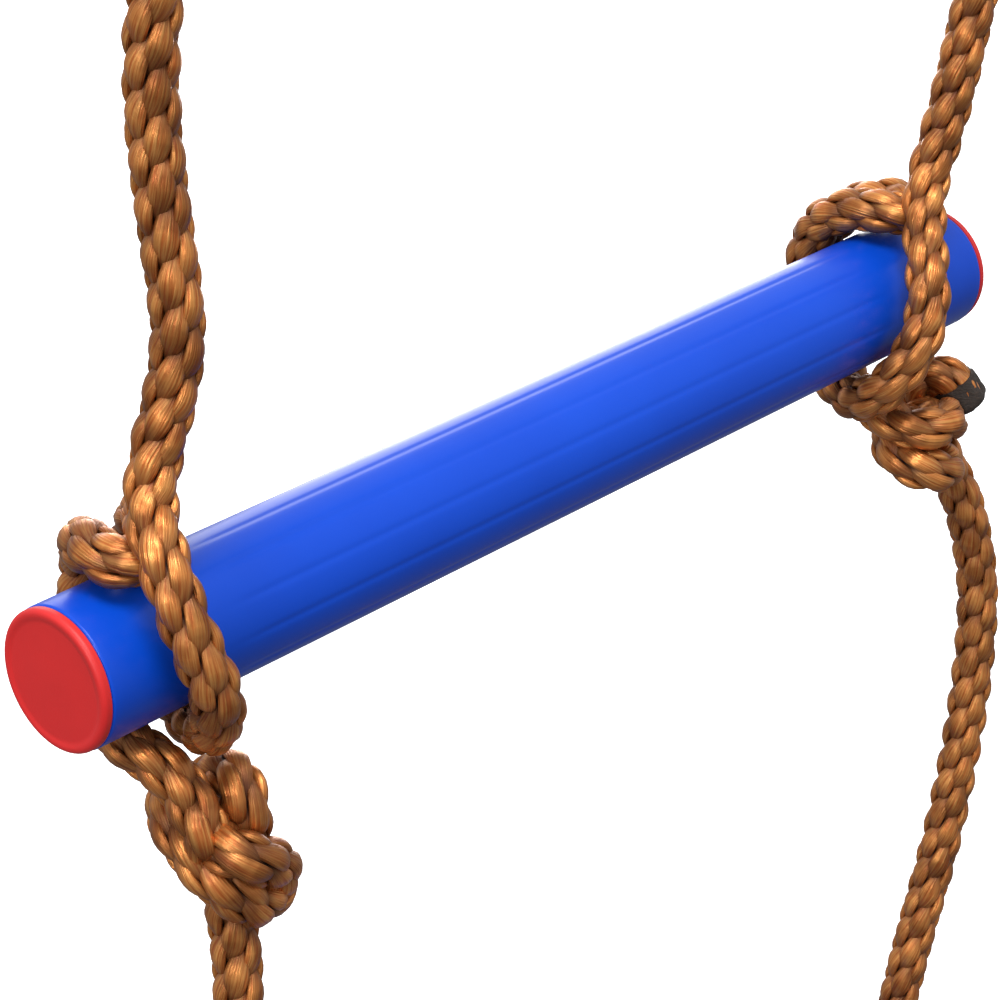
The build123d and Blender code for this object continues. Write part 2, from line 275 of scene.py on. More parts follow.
@dataclass(frozen=True)
class CapPlastic:
    """Satin moulded red plastic with a fine spark-eroded grain."""

    deep: Colour = (0.50, 0.013, 0.013)
    bright: Colour = (0.60, 0.016, 0.015)

    def material(self) -> bpy.types.Material:
        """Return the material."""
        graph = Graph("cap_plastic_red")
        place = graph.place()
        cloud = graph.noise(place, 90.0)
        grain = graph.noise(place, 3200.0, 2.0)
        return graph.close(
            Base_Color=graph.mix(cloud, self.deep, self.bright),
            Roughness=0.40 + cloud * 0.1,
            Specular_IOR_Level=0.4,
            Normal=graph.bump(grain, 0.35, 0.00008),
        )


@dataclass(frozen=True)
class Filament:
    """Shiny bronze filament yarn: fine threads along each strand, with painted shade that darkens it to
    near-black where strands dive.
    """

    pale: Colour = (0.92, 0.375, 0.105)
    brown: Colour = (0.46, 0.135, 0.026)
    painted_dive_shade: Colour = (0.022, 0.005, 0.001)

    def material(self) -> bpy.types.Material:
        """Return the material."""
        graph = Graph("braided_filament_bronze")
        uv = graph.node("ShaderNodeUVMap", {"uv_map": "strand"}, {}).outputs["UV"]
        threads = graph.noise(graph.stretched(uv, (34.0, 120.0, 1.0)), 1.0, 3.0)
        streaks = graph.noise(graph.stretched(uv, (13.0, 80.0, 1.0)), 1.0, 2.0)
        depth = graph.attribute("depth")
        sharp = graph.ramp(threads, [(0.36, (0.0, 0.0, 0.0)), (0.64, (1.0, 1.0, 1.0))])
        yarn = graph.mix(streaks, self.brown, self.pale)
        yarn = graph.mix(0.55, yarn, sharp, "SOFT_LIGHT")
        patches = graph.noise(graph.place(), 95.0, 2.0)
        worn = graph.ramp(patches, [(0.40, (0.40, 0.33, 0.27)), (0.56, (1.0, 1.0, 1.0))])
        yarn = graph.mix(0.75, yarn, worn, "MULTIPLY")
        # Painted shade: the colour runs towards near-black as the depth attribute says the strand dives
        # under its neighbours.
        colour = graph.mix(depth ** 0.62, yarn, self.painted_dive_shade)
        return graph.close(
            Base_Color=colour,
            Metallic=0.74 - depth * 0.6,
            Roughness=0.24 + threads * 0.16 + depth * 0.3,
            Normal=graph.bump(threads, 0.9, 0.00036),
        )


@dataclass(frozen=True)
class RopeCore:
    """The inside of the braid, coloured near-black as painted shade between the strands."""

    # Painted shade: near-black, so that the core reads as the shade between the strands.
    colour: Colour = (0.02, 0.008, 0.004)

    def material(self) -> bpy.types.Material:
        """Return the material."""
        graph = Graph("rope_core_painted_shade")
        fuzz = graph.noise(graph.place(), 1500.0)
        return graph.close(Base_Color=graph.mix(fuzz, self.colour, (0.05, 0.022, 0.01)), Roughness=0.9)


@dataclass(frozen=True)
class SealedTip:
    """Melted rope end: near-black, lumpy, with a fuzz of cut threads."""

    colour: Colour = (0.012, 0.009, 0.007)

    def material(self) -> bpy.types.Material:
        """Return the material."""
        graph = Graph("sealed_rope_tip")
        place = graph.place()
        lumps = graph.noise(place, 520.0)
        fuzz = graph.noise(graph.stretched(place, (900.0, 900.0, 2600.0)), 1.0, 5.0)
        return graph.close(
            Base_Color=graph.mix(fuzz ** 2.0, self.colour, (0.075, 0.045, 0.03)),
            Roughness=0.62 + fuzz * 0.3,
            Normal=graph.bump(lumps * 0.4 + fuzz * 0.6, 0.9, 0.0009),
        )


@dataclass(frozen=True)
class PlatedSteel:
    """Zinc-plated steel: satin, slightly blue, with a soft mottle and rubbed patches."""

    name: str
    colour: Colour = (0.55, 0.56, 0.58)
    roughness: float = 0.27

    def material(self) -> bpy.types.Material:
        """Return the material."""
        graph = Graph(self.name)
        place = graph.place()
        mottle = graph.noise(place, 240.0, 4.0)
        rub = graph.noise(graph.stretched(place, (300.0, 300.0, 2400.0)), 1.0, 3.0)
        dull = tuple(0.72 * part for part in self.colour)
        return graph.close(
            Base_Color=graph.mix(mottle, dull, self.colour),
            Metallic=1.0,
            Roughness=self.roughness + mottle * 0.12 + rub * 0.08,
            Normal=graph.bump(rub, 0.25, 0.00006),
        )


# ---------------------------------------------------------------- meshes from grids
def wall_faces(rings: int, sides: int, loop: bool) -> np.ndarray:
    """Return the four corners of each face between neighbouring rings.

    Args:
        rings: how many rings.
        sides: points round each ring.
        loop: the last ring joins the first.

    Returns:
        Rows of four point numbers.
    """
    rows = np.arange(rings if loop else rings - 1)[:, None]
    columns = np.arange(sides)[None, :]
    ahead = (rows + 1) % rings
    beside = (columns + 1) % sides
    corners = (
        rows * sides + columns,
        rows * sides + beside,
        ahead * sides + beside,
        ahead * sides + columns,
    )
    return np.stack(corners, axis=-1).reshape(-1, 4)


def wall_uvs(along: np.ndarray, sides: int, loop: bool) -> np.ndarray:
    """Return the UV places of the same corners: U is the share of the way round, and V is along.

    Args:
        along: one number a ring.
        sides: points round each ring.
        loop: the last ring joins the first.

    Returns:
        Rows of two numbers, four rows a face.
    """
    steps = len(along) if loop else len(along) - 1
    ring_v = np.append(along, 2 * along[-1] - along[-2])
    left = np.tile(np.arange(sides) / sides, steps)
    right = np.tile(np.arange(1, sides + 1) / sides, steps)
    low = np.repeat(ring_v[:steps], sides)
    high = np.repeat(ring_v[1 : steps + 1], sides)
    corners = [np.stack(pair, axis=-1) for pair in ((left, low), (right, low), (right, high), (left, high))]
    return np.stack(corners, axis=1).reshape(-1, 2)


@dataclass
class Skin:
    """Grids of points joined into one closed mesh; the second direction of each grid goes round."""

    name: str
    loop: bool = False
    points: List[np.ndarray] = field(default_factory=list)
    depths: List[np.ndarray] = field(default_factory=list)
    corners: List[np.ndarray] = field(default_factory=list)
    uvs: List[np.ndarray] = field(default_factory=list)
    sizes: List[np.ndarray] = field(default_factory=list)
    slots: List[np.ndarray] = field(default_factory=list)
    count: int = 0

    def add(
        self, grid: np.ndarray, along: np.ndarray, depth: Optional[np.ndarray] = None, slot: int = 0
    ) -> None:
        """Add one tube-like grid. Both its ends are closed with a flat face, unless the skin is a loop.

        Args:
            grid: points, rings by points round a ring by 3.
            along: one number a ring, the V of the UV map.
            depth: one number a ring, 0 on top and 1 where it dives.
            slot: material slot.
        """
        rings, sides = grid.shape[:2]
        walls = wall_faces(rings, sides, self.loop) + self.count
        self.add_faces(walls.reshape(-1), wall_uvs(along, sides, self.loop), len(walls), 4, slot)
        if not self.loop:
            for ring, order in ((0, -1), (rings - 1, 1)):
                face = (self.count + ring * sides + np.arange(sides))[::order]
                face_uv = np.stack([np.arange(sides) / sides, np.full(sides, along[ring])], axis=-1)
                self.add_faces(face, face_uv, 1, sides, slot)
        self.points.append(grid.reshape(-1, 3))
        self.depths.append(np.repeat(np.zeros(rings) if depth is None else depth, sides))
        self.count += rings * sides

    def add_faces(self, corners: np.ndarray, uvs: np.ndarray, count: int, size: int, slot: int) -> None:
        """Add faces that all have as many corners.

        Args:
            corners: point numbers, face after face.
            uvs: the UV place of each corner.
            count: how many faces.
            size: corners a face.
            slot: material slot.
        """
        self.corners.append(corners)
        self.uvs.append(uvs)
        self.sizes.append(np.full(count, size))
        self.slots.append(np.full(count, slot))

    def build(self, materials: Sequence[bpy.types.Material], sharp: float = 40.0) -> bpy.types.Object:
        """Make the object, in its place, at the origin.

        Args:
            materials: its material slots.
            sharp: edges that turn by more than this many degrees stay sharp.

        Returns:
            The object.
        """
        sizes = np.concatenate(self.sizes)
        starts = np.cumsum(sizes) - sizes
        mesh = bpy.data.meshes.new(self.name)
        mesh.vertices.add(self.count)
        mesh.vertices.foreach_set("co", np.concatenate(self.points).astype(np.float32).reshape(-1))
        mesh.loops.add(int(sizes.sum()))
        mesh.loops.foreach_set("vertex_index", np.concatenate(self.corners).astype(np.int32))
        mesh.polygons.add(len(sizes))
        mesh.polygons.foreach_set("loop_start", starts.astype(np.int32))
        mesh.polygons.foreach_set("material_index", np.concatenate(self.slots).astype(np.int32))
        mesh.update(calc_edges=True)
        uv_layer = mesh.uv_layers.new(name="strand")
        uv_layer.data.foreach_set("uv", np.concatenate(self.uvs).astype(np.float32).reshape(-1))
        depth_layer = mesh.attributes.new("depth", "FLOAT", "POINT")
        depth_layer.data.foreach_set("value", np.concatenate(self.depths).astype(np.float32))
        mesh.shade_smooth()
        mesh.set_sharp_from_angle(angle=math.radians(sharp))
        for material in materials:
            mesh.materials.append(material)
        made = bpy.data.objects.new(self.name, mesh)
        bpy.context.scene.collection.objects.link(made)
        LOG.info("%s: %d points, %d faces", self.name, self.count, len(sizes))
        return made


def round_angles(sides: int) -> np.ndarray:
    """Return evenly spaced angles of a whole turn."""
    return np.linspace(0.0, 2 * np.pi, sides, endpoint=False)


def turned(
    profile: np.ndarray, middle: Point, sides: int, dent: Optional[np.ndarray] = None
) -> np.ndarray:
    """Carry a profile round an axis along X, so that a profile that runs along +X faces outwards.

    The point at profile row i and angle a is middle + (x_i, r_i sin a, r_i cos a), with r_i less the dent.

    Args:
        profile: rows of (x, radius).
        middle: a point on the axis.
        sides: points round each ring.
        dent: how far each point lies under the profile, rows by sides.

    Returns:
        The grid.
    """
    angle = round_angles(sides)
    radius = profile[:, 1:2] - (0.0 if dent is None else dent)
    x = np.repeat(profile[:, 0:1], sides, axis=1)
    grid = np.stack([x, radius * np.sin(angle), radius * np.cos(angle)], axis=-1) + np.array(middle)
    return grid[:, ::-1]


# ---------------------------------------------------------------- rungs
@dataclass
class Rung:
    """One rung: a hollow grooved plastic tube with a red cap pressed into each end."""

    number: int
    radius: float = 17.0 * MM
    bore: float = 14.4 * MM
    half_length: float = 159.5 * MM
    edge: float = 0.8 * MM
    groove_depth: float = 0.17 * MM
    groove_width: float = 0.85 * MM
    groove_middle: float = -2.0 * MM
    groove_reach: float = 116.0 * MM
    groove_fade: float = 2.2 * MM
    groove_count: int = 12
    sides: int = 288
    cap_radius: float = 16.8 * MM
    cap_thickness: float = 2.4 * MM
    cap_edge: float = 1.2 * MM
    cap_sides: int = 144
    plug_length: float = 10.0 * MM
    pole: float = 0.3 * MM

    @property
    def middle(self) -> Point:
        """Return the middle of the rung."""
        return (0.0, 0.0, RUNG_HEIGHTS[self.number - 1])

    def tube_grid(self) -> np.ndarray:
        """Return the tube's closed grid.

        The profile runs along the outside, round each moulded edge, and back along the bore. The outside
        lies lower in narrow soft grooves, a bell curve of the angle, which fade out near the ropes.
        """
        turn = np.linspace(0.0, np.pi / 2, 7)
        end = self.half_length
        edge_x = end - self.edge + self.edge * np.sin(turn)
        edge_r = self.radius - self.edge + self.edge * np.cos(turn)
        run = np.linspace(-end + self.edge, end - self.edge, 150)[1:-1]
        outside = np.concatenate([-edge_x[::-1], run, edge_x])
        outside_r = np.concatenate([edge_r[::-1], np.full(len(run), self.radius), edge_r])
        inside = np.linspace(end, -end, 5)
        inside_r = np.full(len(inside), self.bore)
        profile = np.stack([np.append(outside, inside), np.append(outside_r, inside_r)], axis=-1)
        step = 2 * np.pi / self.groove_count
        off = (round_angles(self.sides) + step / 2) % step - step / 2
        bell = np.exp(-((off * self.radius / self.groove_width) ** 2))
        past = np.abs(profile[:, 0] - self.groove_middle) - self.groove_reach
        fade = 1.0 / (1.0 + np.exp(past / self.groove_fade))
        fade[profile[:, 1] < self.radius - 1e-6] = 0.0
        dent = self.groove_depth * fade[:, None] * bell[None, :]
        return turned(profile, self.middle, self.sides, dent)

    def cap_grid(self, side: int) -> np.ndarray:
        """Return one cap's grid: a flat face inside a raised rim, a rounded edge, and the plug in the bore.

        Args:
            side: -1 for the left end, 1 for the right.

        Returns:
            The grid, from the inner end of the plug to the middle of the face.
        """
        end = self.half_length
        outer = end + self.cap_thickness
        turn = np.linspace(0.0, np.pi / 2, 9)
        edge = np.stack(
            [
                outer - self.cap_edge + self.cap_edge * np.sin(turn),
                self.cap_radius - self.cap_edge + self.cap_edge * np.cos(turn),
            ],
            axis=-1,
        )
        back = end - self.plug_length
        plug = np.array(
            [
                [back, self.pole],
                [back, self.bore - 0.6 * MM],
                [back + 1.0 * MM, self.bore],
                [end, self.bore],
                [end, self.cap_radius - 0.3 * MM],
                [end + 0.2 * MM, self.cap_radius],
            ]
        )
        face = np.array(
            [
                [outer, self.cap_radius - 1.9 * MM],
                [outer - 0.22 * MM, self.cap_radius - 2.3 * MM],
                [outer - 0.26 * MM, self.cap_radius - 3.2 * MM],
                [outer - 0.2 * MM, 8.0 * MM],
                [outer - 0.16 * MM, self.pole],
            ]
        )
        profile = np.concatenate([plug, edge, face])
        grid = turned(profile * np.array([side, 1.0]), self.middle, self.cap_sides)
        return grid if side > 0 else grid[:, ::-1]

    def build(self, tube: bpy.types.Material, cap: bpy.types.Material) -> None:
        """Make the tube and its two caps.

        Args:
            tube: the tube's material.
            cap: the caps' material.
        """
        self.finish_piece(self.tube_grid(), "tube", f"rung_tube_{self.number}", tube)
        for side, name in ((-1, "left"), (1, "right")):
            self.finish_piece(self.cap_grid(side), f"{name}_cap", f"{name}_cap_{self.number}", cap)

    def finish_piece(self, grid: np.ndarray, name: str, node: str, material: bpy.types.Material) -> None:
        """Make one piece of the rung.

        Args:
            grid: its points.
            name: "tube", or a cap's name.
            node: the CAD node that it stands for.
            material: its material.
        """
        tube = name == "tube"
        skin = Skin(f"rung_{self.number}_{name}_skin", loop=tube)
        skin.add(grid, np.linspace(0.0, 1.0, len(grid)))
        made = skin.build([material], sharp=50.0 if tube else 40.0)
        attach(made, f"rung_{self.number}")
        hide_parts(node)


# ---------------------------------------------------------------- braided rope
@dataclass(frozen=True)
class Braid:
    """Nine flat yarns that each float on the rope's outside, dive, and come up one column further round."""

    strands: int = 9
    pitch: float = 0.83 * ROPE_DIAMETER
    column: float = math.pi / 3
    hold: float = 0.5
    twist: float = 8.0
    crown: float = 4.75 * MM
    buried: float = 2.2 * MM
    wide: float = 2.95 * MM
    narrow: float = 1.1 * MM
    thick: float = 1.5 * MM
    thin: float = 1.15 * MM
    core: float = 2.9 * MM
    fullness: float = 0.62
    rings_each: int = 12
    sides: int = 10
    core_sides: int = 8

    @property
    def float_length(self) -> float:
        """Return how far along the rope it is from one float of a strand to its next."""
        return 1.5 * self.pitch

    @property
    def step(self) -> float:
        """Return the distance between rings along the rope."""
        return self.float_length / self.rings_each

    def skin(self, name: str, centre: np.ndarray) -> Skin:
        """Return the rope's surface round a centre line.

        Strand j at distance s is u = (s - j pitch) / (1.5 pitch) floats along. Its angle is one column a
        float, held back while it is on top, plus a slow twist. Its distance from the middle and its width
        follow the square of cos(pi u) to the power of fullness. Each strand's ring is an ellipse across
        the strand, wide round the rope.

        Args:
            name: the piece's name.
            centre: evenly spaced points of the centre line.

        Returns:
            The surface.
        """
        tangent = unit(np.gradient(centre, axis=0))
        first, second = steady_frames(centre, tangent)
        distance = np.arange(len(centre)) * self.step
        strand = np.arange(self.strands)[:, None]
        floats = (distance[None, :] - strand * self.pitch) / self.float_length
        angle = self.column * (floats - self.hold * np.sin(2 * np.pi * floats) / (2 * np.pi))
        angle = angle + self.twist * distance[None, :]
        top = (np.cos(np.pi * floats) ** 2) ** self.fullness
        radius = self.buried + (self.crown - self.buried) * top
        outward = np.cos(angle)[..., None] * first[None] + np.sin(angle)[..., None] * second[None]
        middle = centre[None] + radius[..., None] * outward
        run = unit(np.gradient(middle, axis=1))
        across = unit(np.cross(run, outward))
        up = np.cross(across, run)
        half_width = self.narrow + (self.wide - self.narrow) * top
        half_thickness = self.thin + (self.thick - self.thin) * top
        around = round_angles(self.sides)
        ring = (
            half_width[..., None, None] * np.cos(around)[:, None] * across[:, :, None, :]
            + half_thickness[..., None, None] * np.sin(around)[:, None] * up[:, :, None, :]
        )
        grids = middle[:, :, None, :] + ring
        skin = Skin(name)
        for index in range(self.strands):
            # Each strand reads its threads from another stretch of the pattern.
            skin.add(grids[index][:, ::-1], distance + 0.37 * index, 1.0 - top[index])
        inner = round_angles(self.core_sides)
        spokes = np.cos(inner)[:, None] * first[:, None, :] + np.sin(inner)[:, None] * second[:, None, :]
        skin.add(centre[:, None, :] + self.core * spokes, distance, np.ones(len(centre)), 1)
        return skin


def unit(vectors: np.ndarray) -> np.ndarray:
    """Return vectors made one long."""
    return vectors / np.linalg.norm(vectors, axis=-1, keepdims=True)


def steady_frames(centre: np.ndarray, tangent: np.ndarray) -> Tuple[np.ndarray, np.ndarray]:
    """Two directions across a line that don't spin about it.

    Each point first gets any direction across. The least turn from one tangent to the next carries it to
    the next point, and the running sum of the angles by which it misses there is turned back.

    Args:
        centre: points of the line.
        tangent: its directions.

    Returns:
        The two directions across at each point.
    """
    axes = np.eye(3)[np.argmin(np.abs(tangent), axis=1)]
    first = unit(np.cross(tangent, axes))
    second = np.cross(tangent, first)
    before, after = tangent[:-1], tangent[1:]
    axis = np.cross(before, after)
    dot = np.sum(before * after, axis=1, keepdims=True)
    carried = first[:-1]
    carried = (
        carried * dot
        + np.cross(axis, carried)
        + axis * np.sum(axis * carried, axis=1, keepdims=True) / (1 + dot)
    )
    missed = np.arctan2(np.sum(carried * second[1:], axis=1), np.sum(carried * first[1:], axis=1))
    spin = np.concatenate([[0.0], np.cumsum(missed)])[:, None]
    return np.cos(spin) * first + np.sin(spin) * second, np.cos(spin) * second - np.sin(spin) * first


def smooth_line(route: Sequence[Point], step: float) -> np.ndarray:
    """Points at even distances on the smooth curve that a route's points pull towards themselves.

    Args:
        route: control points, in metres.
        step: the distance wanted.

    Returns:
        The points.
    """
    curve = bpy.data.curves.new("route", "CURVE")
    curve.dimensions = "3D"
    spline = curve.splines.new("NURBS")
    spline.points.add(len(route) - 1)
    flat = np.concatenate([np.array(route), np.ones((len(route), 1))], axis=1)
    spline.points.foreach_set("co", flat.astype(np.float32).reshape(-1))
    spline.order_u = 3
    spline.use_endpoint_u = True
    spline.resolution_u = 24
    carrier = bpy.data.objects.new("route", curve)
    bpy.context.scene.collection.objects.link(carrier)
    mesh = bpy.data.meshes.new_from_object(carrier)
    fine = np.empty(len(mesh.vertices) * 3, dtype=np.float32)
    mesh.vertices.foreach_get("co", fine)
    fine = fine.reshape(-1, 3).astype(float)
    bpy.data.objects.remove(carrier)
    bpy.data.curves.remove(curve)
    bpy.data.meshes.remove(mesh)
    run = np.concatenate([[0.0], np.cumsum(np.linalg.norm(np.diff(fine, axis=0), axis=1))])
    even = np.arange(0.0, run[-1], step)
    return np.stack([np.interp(even, run, fine[:, part]) for part in range(3)], axis=-1)


# ---------------------------------------------------------------- routes of the side ropes
# Millimetres from the middle of the rung that the rope is tied to: the span from the knot above, the
# turns round the rung, and the knot under it.
LEFT_SPAN = [
    (-128, -12, 246), (-125.5, -13, 232), (-125.5, -14.5, 220), (-127.5, -17, 207), (-129.5, -16, 180),
    (-131, -9, 152), (-131, -5.5, 126), (-131, -8, 100), (-130, -10.5, 76), (-131.5, -8.5, 61),
    (-136, -7, 47),
]
LEFT_HITCH = [
    (-140, -9, 36.5), (-144, -17, 29), (-143.5, -24, 13.5), (-138, -26.5, -3), (-133.5, -20.5, -14.5),
    (-127.5, -10, -23), (-122, 4, -25.5), (-118.5, 17, -19.5), (-116.5, 25, -7), (-116.5, 25, 7),
    (-119, 18.5, 18), (-123.5, 10.5, 23.5), (-129, 3.5, 26.5), (-136, -4, 26.5), (-141.5, -8.5, 25),
    (-147, -5, 25), (-146, 5, 25), (-139.5, 14, 21), (-132.5, 21.5, 12.5), (-132, 25.5, -1),
    (-134.5, 22, -13.5), (-138.5, 13, -22), (-139, 4, -26.5), (-136.5, -4, -29.5),
]
LEFT_KNOT = [
    (-133.4, -10, -37), (-135, -16, -44), (-129.5, -14.5, -54), (-122.5, -11.5, -58.5), (-119.5, -13, -53),
    (-123.5, -17.5, -42), (-122.5, -14, -35.5), (-118.5, -4, -40), (-124, 2, -46), (-131.5, 1, -45),
    (-135, -8, -48), (-134.5, -17, -55), (-128.6, -21.5, -62), (-121.5, -19, -67.5), (-114, -16, -66),
    (-117.5, -21, -57.5), (-129, -25.5, -49.5), (-133, -19, -47), (-129, -12, -49),
]
RIGHT_SPAN = [
    (138, -14, 258), (146, -15, 252), (152, -18, 242), (157.5, -20, 228), (163, -22, 203),
    (161.5, -22, 165), (156.5, -19.5, 122), (148, -17, 88), (143, -15.5, 62), (140, -13.5, 46),
]
RIGHT_HITCH = [
    (135.5, -13, 34.5), (130, -17, 24.5), (124, -23.5, 15), (121.5, -26, 4.5), (117.5, -25.5, -5),
    (114.5, -20.5, -15), (115, -12, -22.5), (119.5, -4, -26), (124, 5, -25.5), (128, 15, -20.5),
    (132, 23, -10.5), (134.5, 25.5, 1), (132.5, 21.5, 12.5), (129.5, 13.5, 21), (129, 4.5, 25),
    (130, -4, 26), (134, -9.5, 25.5), (138.5, -8.5, 25.5), (140, -1, 26), (138.5, 8, 24),
    (138, 18, 17), (139.5, 25, 5), (139.5, 25, -7), (136.5, 18, -18), (132, 8, -26.5),
    (129, -2, -30.5),
]
RIGHT_KNOT = [
    (127, -13, -33), (130, -21.5, -34), (138, -23.5, -33.5), (144, -19, -35), (143, -11, -38),
    (136, -7, -40), (129, -11, -42.5), (127.5, -20, -44.5), (134, -24.5, -47), (142, -21.5, -49.5),
    (147, -14, -46), (149, -6, -38), (149, -5, -30), (151, -10, -27), (154, -15, -29),
    (156, -17, -35),
]
# The first span of each rope, in millimetres from the hook's seat, and the free ends under the last knots.
LEFT_TOP = [
    (-58, -5.5, -195), (-100, -5, -255), (-127, -5, -287), (-136, -7, -297),
]
RIGHT_TOP = [
    (56, 4, -193), (97, -2, -251), (121, -8, -280), (133, -12, -295),
]
LEFT_TAIL = [
    (-127, -12, -62), (-126, -13, -78), (-127, -15, -98), (-126, -17, -116),
]
RIGHT_TAIL = [
    (138, -14, -42), (146, -15, -48), (152, -18, -58), (157, -20, -72), (158.5, -21, -92),
    (157.5, -20, -114),
]


def placed(points: Sequence[Point], height: float) -> List[Point]:
    """Return millimetre points as metres, moved up by a height in metres."""
    return [(x * MM, y * MM, z * MM + height) for x, y, z in points]


@dataclass
class Eye:
    """The eye that a side rope makes round the ring, and the two turns that close it."""

    side: Side
    ring_middle: float = -83.6
    ring_radius: float = 24.0
    spread: float = 7.5
    bend: float = 12.0
    turn_radius: float = 11.4
    turn_count: float = 2.5
    turns_low: float = 51.0
    turns_high: float = 27.0

    def route(self) -> List[Point]:
        """Return the control points, in millimetres, from the short end's tip to the standing part.

        The points lie on axes at the ring's middle line: down the rope, across it, and along the ring. The
        short end turns two and a half times round the standing part, on a circle that climbs, and then
        makes the eye. Points on a round bend stand out from it, by one over the cosine of half the angle
        between them, because the curve touches the middle of each line between its points.
        """
        sign = -1.0 if self.side is Side.LEFT else 1.0
        y = sign * self.spread
        seat = np.array([0.0, y, self.ring_middle - math.sqrt(self.ring_radius**2 - self.spread**2)])
        target = np.array((LEFT_TOP if self.side is Side.LEFT else RIGHT_TOP)[0], dtype=float)
        down = unit(np.array([target[0] - seat[0], 0.0, target[2] - seat[2]]))
        across = np.array([down[2], 0.0, -down[0]]) * -sign
        along = np.array([0.0, 1.0, 0.0])
        spots_each = 8
        stand_out = 1.0 / math.cos(math.pi / spots_each)
        spots_in_all = int(self.turn_count * spots_each) + 1
        turns = np.linspace(math.pi, math.pi + 2 * math.pi * self.turn_count, spots_in_all)
        wide = self.turn_radius * stand_out
        climb = np.linspace(self.turns_low, self.turns_high, spots_in_all)
        coil = np.stack([climb, wide * np.cos(turns), wide * np.sin(turns)], axis=-1)
        corner = self.bend * stand_out
        bow = np.radians([22.5, 67.5, 112.5, 157.5])
        loop = np.stack([-corner * np.sin(bow), corner * np.cos(bow), 0 * bow], axis=-1)
        short_end = np.array([[74.0, -14.0, 4.0], [66.0, -13.5, 3.0], [57.0, -12.8, 2.0]])
        leg_up = np.array([[20.0, 12.6, 0.0], [8.0, 12.2, 0.0]])
        leg_down = np.array(
            [[8.0, -12.2, 0.0], [18.0, -9.5, 0.0], [28.0, -3.0, 0.0], [40.0, 0.0, 0.0], [62.0, 0.0, 0.0]]
        )
        local = np.concatenate([short_end, coil, leg_up, loop, leg_down])
        spots = seat + local[:, 0:1] * down + local[:, 1:2] * across + local[:, 2:3] * along
        return [tuple(spot) for spot in spots]


@dataclass(frozen=True)
class MeltedTip:
    """The melted, lumpy end of a cut rope."""

    shank: float = 6.0
    past: float = 0.5
    nose: float = 3.2
    radius: float = 6.35
    sides: int = 48

    def build(
        self, name: str, centre: np.ndarray, at_end: bool, material: bpy.types.Material
    ) -> bpy.types.Object:
        """Make the tip at one end of a rope.

        It is a sleeve over the rope that ends in a blunt nose: along the nose, the distance follows a sine
        and the radius a cosine to the power of three quarters. Two ripples go round and along it.

        Args:
            name: the piece's name.
            centre: the rope's centre line.
            at_end: at its end rather than its start.
            material: its material.

        Returns:
            The piece.
        """
        spot, inward = (centre[-1], centre[-5]) if at_end else (centre[0], centre[4])
        out = unit(spot - inward)
        first = unit(np.cross(out, np.array([0.31, 0.93, 0.17])))
        second = np.cross(out, first)
        sleeve = np.linspace(-self.shank, self.past, 8)
        along_nose = self.past + self.nose * np.sin(np.linspace(0.15, np.pi / 2, 9))
        place = np.concatenate([sleeve, along_nose]) * MM
        nose_radius = np.cos(np.linspace(0.15, np.pi / 2 * 0.985, 9)) ** 0.75
        round_off = np.concatenate([np.ones(len(sleeve)), nose_radius])
        angle = round_angles(self.sides)
        broad = 0.22 * np.sin(7 * angle + 300 * place[:, None])
        fine = 0.16 * np.sin(13 * angle - 900 * place[:, None])
        radius = (self.radius + (broad + fine)) * MM * round_off[:, None]
        ring = np.cos(angle)[:, None] * first + np.sin(angle)[:, None] * second
        skin = Skin(name)
        skin.add(spot + place[:, None, None] * out + radius[..., None] * ring[None], place)
        return skin.build([material], sharp=80.0)


